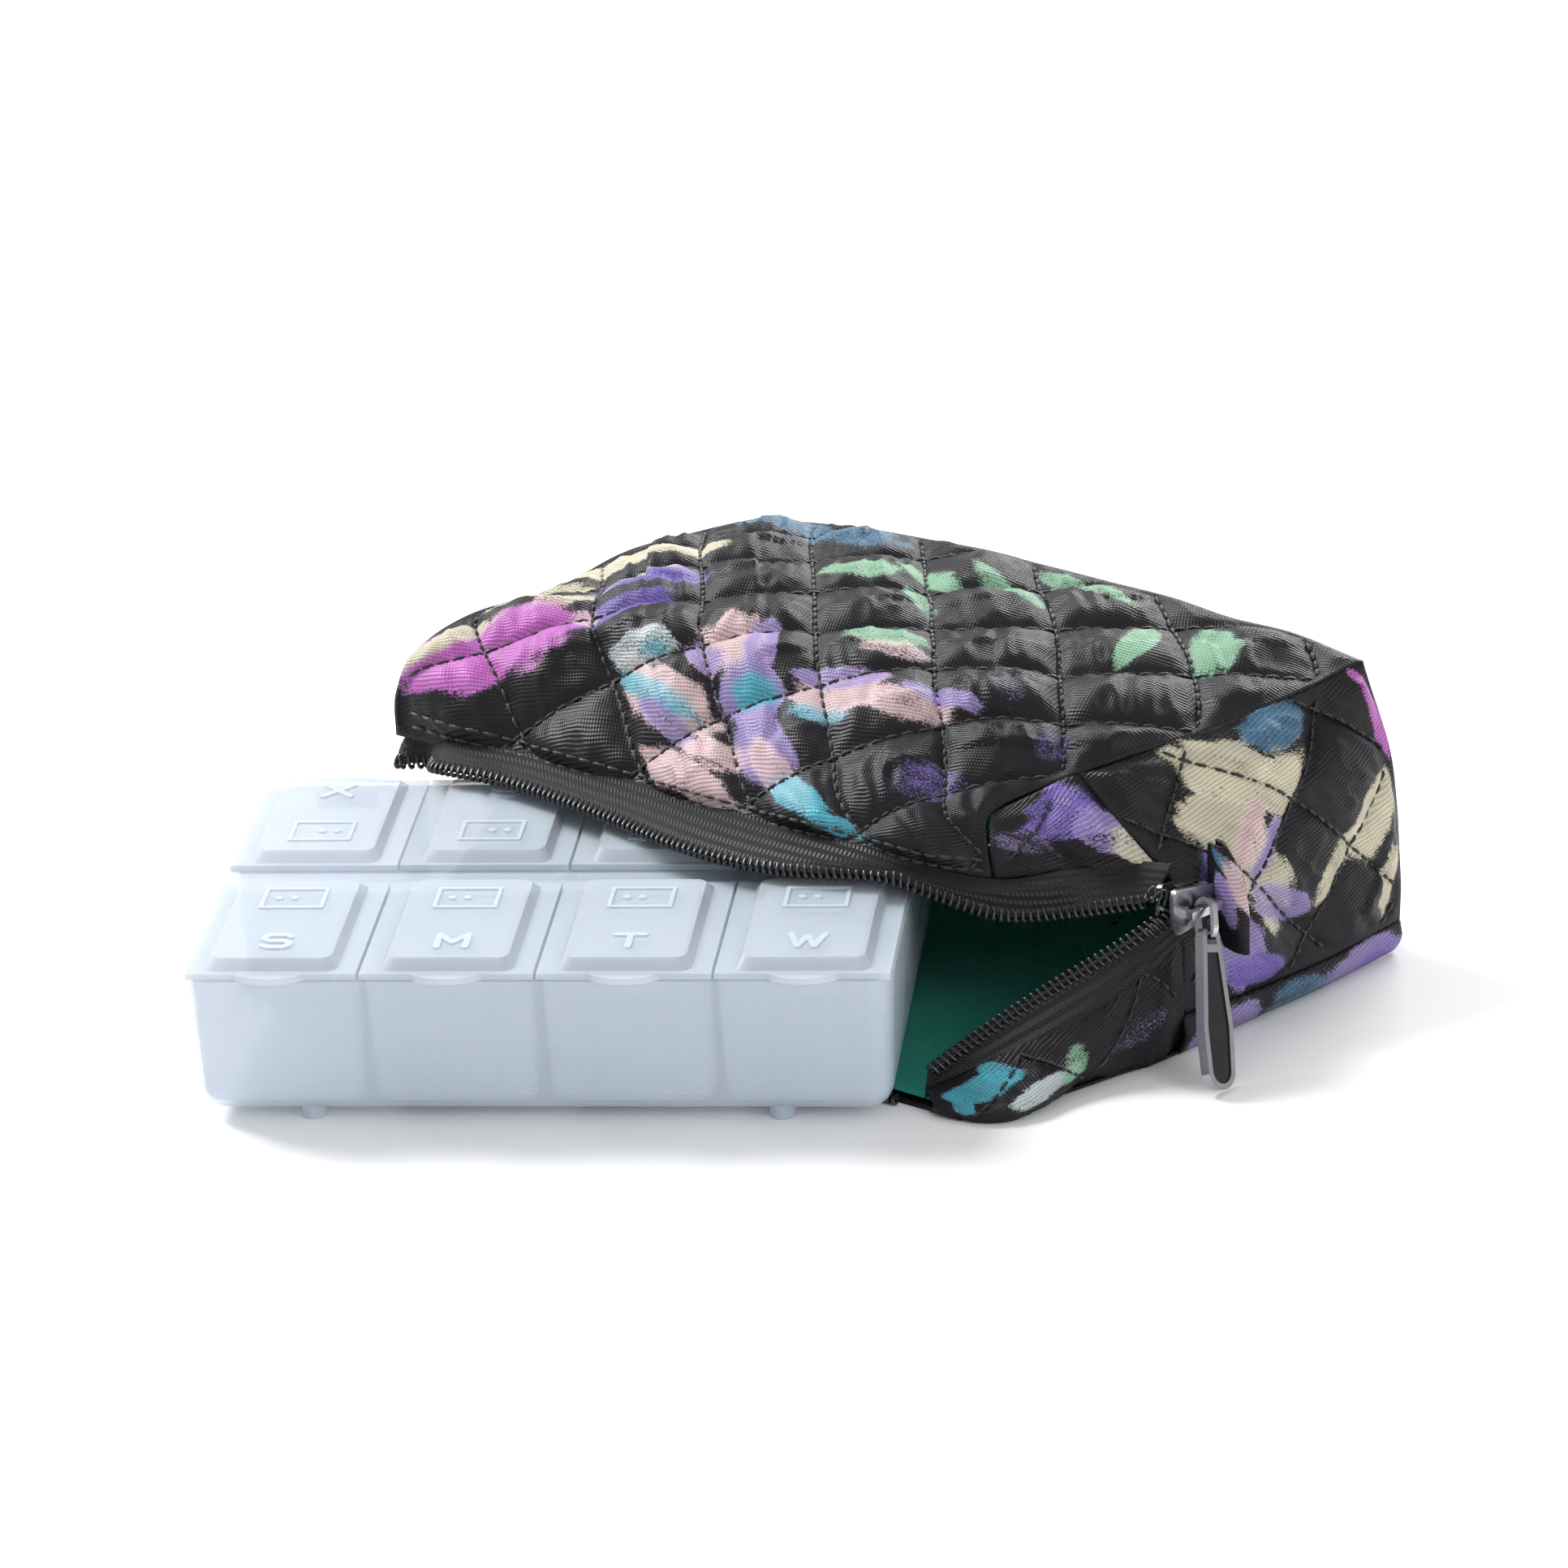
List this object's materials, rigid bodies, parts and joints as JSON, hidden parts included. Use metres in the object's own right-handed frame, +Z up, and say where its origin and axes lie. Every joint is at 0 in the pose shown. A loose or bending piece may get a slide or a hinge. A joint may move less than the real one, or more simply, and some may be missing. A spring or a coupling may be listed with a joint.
{
  "type": "travel pill organizer",
  "caption": "Soft quilted zip pouch lying open, holding a clear pill tray with hinged snap lids that slides out of its mouth.",
  "frame": {"origin": "middle of the pouch's flat underside, on the surface it lies on", "axes": "+Z up, +X along the pill tray's width, +Y from the tray's front to its back, into the pouch"},
  "size_m": [0.1831, 0.1367, 0.0548],
  "materials": {
    "quilted_fabric": "black satin twill with a painterly floral print, diamond quilted",
    "tab_fabric": "satin twill, folded",
    "binding_fabric": "satin twill, folded over the seam",
    "lining": "plain woven, matt",
    "zip_tape": "herringbone woven",
    "zip_coil": "nylon coil",
    "zip_metal": "polished gunmetal",
    "pull_metal": "polished",
    "pull_enamel": "gloss enamel",
    "tray_plastic": "clear natural polypropylene",
    "lid_plastic": "clear natural polypropylene, polished",
    "mark_plastic": "raised moulding"
  },
  "bodies": {
    "pouch": {"bottom_panel": "quilted_fabric", "back_wall": "quilted_fabric", "right_wall": "quilted_fabric", "left_wall": "quilted_fabric", "top_panel_rear": "quilted_fabric", "right_wall_corner": "quilted_fabric", "left_wall_corner": "quilted_fabric", "lower_wall_right": "quilted_fabric", "lower_wall_left": "quilted_fabric", "lower_wall_front": "quilted_fabric", "bottom_binding": "binding_fabric", "lining_floor": "lining", "lining_back": "lining", "lining_right": "lining", "lining_left": "lining", "lining_top_rear": "lining", "lining_lower_right": "lining", "lower_tape": "zip_tape", "lower_coil": "zip_coil", "zip_chain_right": "zip_coil", "zip_chain_left": "zip_coil", "zip_tab_right": "tab_fabric", "zip_tab_left": "tab_fabric"},
    "flap": {"top_panel_front": "quilted_fabric", "upper_wall_front": "quilted_fabric", "upper_wall_left": "quilted_fabric", "upper_wall_right": "quilted_fabric", "lining_flap": "lining", "upper_tape": "zip_tape", "upper_coil": "zip_coil"},
    "zip_slider": {"slider_body": "zip_metal", "slider_bridge": "zip_metal"},
    "zip_pull": {"pull_link": "pull_metal", "pull_frame": "pull_metal", "pull_inlay": "pull_enamel"},
    "pill_tray": {"pill_tray": "tray_plastic"},
    "lid_front_1": {"lid_front_1": "lid_plastic", "mark_front_1": "mark_plastic"},
    "lid_front_2": {"lid_front_2": "lid_plastic", "mark_front_2": "mark_plastic"},
    "lid_front_3": {"lid_front_3": "lid_plastic", "mark_front_3": "mark_plastic"},
    "lid_front_4": {"lid_front_4": "lid_plastic", "mark_front_4": "mark_plastic"},
    "lid_back_1": {"lid_back_1": "lid_plastic", "mark_back_1": "mark_plastic"},
    "lid_back_2": {"lid_back_2": "lid_plastic", "mark_back_2": "mark_plastic"},
    "lid_back_3": {"lid_back_3": "lid_plastic", "mark_back_3": "mark_plastic"},
    "lid_back_4": {"lid_back_4": "lid_plastic", "mark_back_4": "mark_plastic"}
  },
  "joints": [
    {"name": "flap_lift", "type": "hinge", "parent": "pouch", "child": "flap", "pos_m": [-0.00156, -0.00256, 0.0549], "axis": [-0.8545, 0.5195, 0], "range_deg": [0, 50]},
    {"name": "tray_slide", "type": "slide", "parent": "pouch", "child": "pill_tray", "axis": [0, -1, 0], "range_m": [0, 0.09]},
    {"name": "zip_travel", "type": "slide", "parent": "pouch", "child": "zip_slider", "axis": [-0.6794, -0.7337, 0], "range_m": [0, 0.003]},
    {"name": "pull_swing", "type": "hinge", "parent": "zip_slider", "child": "zip_pull", "pos_m": [0.05526, -0.04465, 0.025], "axis": [-0.6794, -0.7337, 0], "range_deg": [0, 120]},
    {"name": "lid_front_1_hinge", "type": "hinge", "parent": "pill_tray", "child": "lid_front_1", "pos_m": [-0.0848, -0.03538, 0.0252], "axis": [-1, 0, 0], "range_deg": [0, 90]},
    {"name": "lid_front_2_hinge", "type": "hinge", "parent": "pill_tray", "child": "lid_front_2", "pos_m": [-0.0578, -0.03538, 0.0252], "axis": [-1, 0, 0], "range_deg": [0, 90]},
    {"name": "lid_front_3_hinge", "type": "hinge", "parent": "pill_tray", "child": "lid_front_3", "pos_m": [-0.0308, -0.03538, 0.0252], "axis": [-1, 0, 0], "range_deg": [0, 70]},
    {"name": "lid_front_4_hinge", "type": "hinge", "parent": "pill_tray", "child": "lid_front_4", "pos_m": [-0.0038, -0.03538, 0.0252], "axis": [-1, 0, 0], "range_deg": [0, 9]},
    {"name": "lid_back_1_hinge", "type": "hinge", "parent": "pill_tray", "child": "lid_back_1", "pos_m": [-0.0848, -0.02858, 0.02533], "axis": [1, 0, 0], "range_deg": [0, 90]},
    {"name": "lid_back_2_hinge", "type": "hinge", "parent": "pill_tray", "child": "lid_back_2", "pos_m": [-0.0578, -0.02858, 0.02533], "axis": [1, 0, 0], "range_deg": [0, 2]},
    {"name": "lid_back_3_hinge", "type": "hinge", "parent": "pill_tray", "child": "lid_back_3", "pos_m": [-0.0308, -0.02858, 0.02533], "axis": [1, 0, 0], "range_deg": [0, 8]},
    {"name": "lid_back_4_hinge", "type": "hinge", "parent": "pill_tray", "child": "lid_back_4", "pos_m": [-0.0038, -0.02858, 0.02533], "axis": [1, 0, 0], "range_deg": [0, 34]}
  ]
}
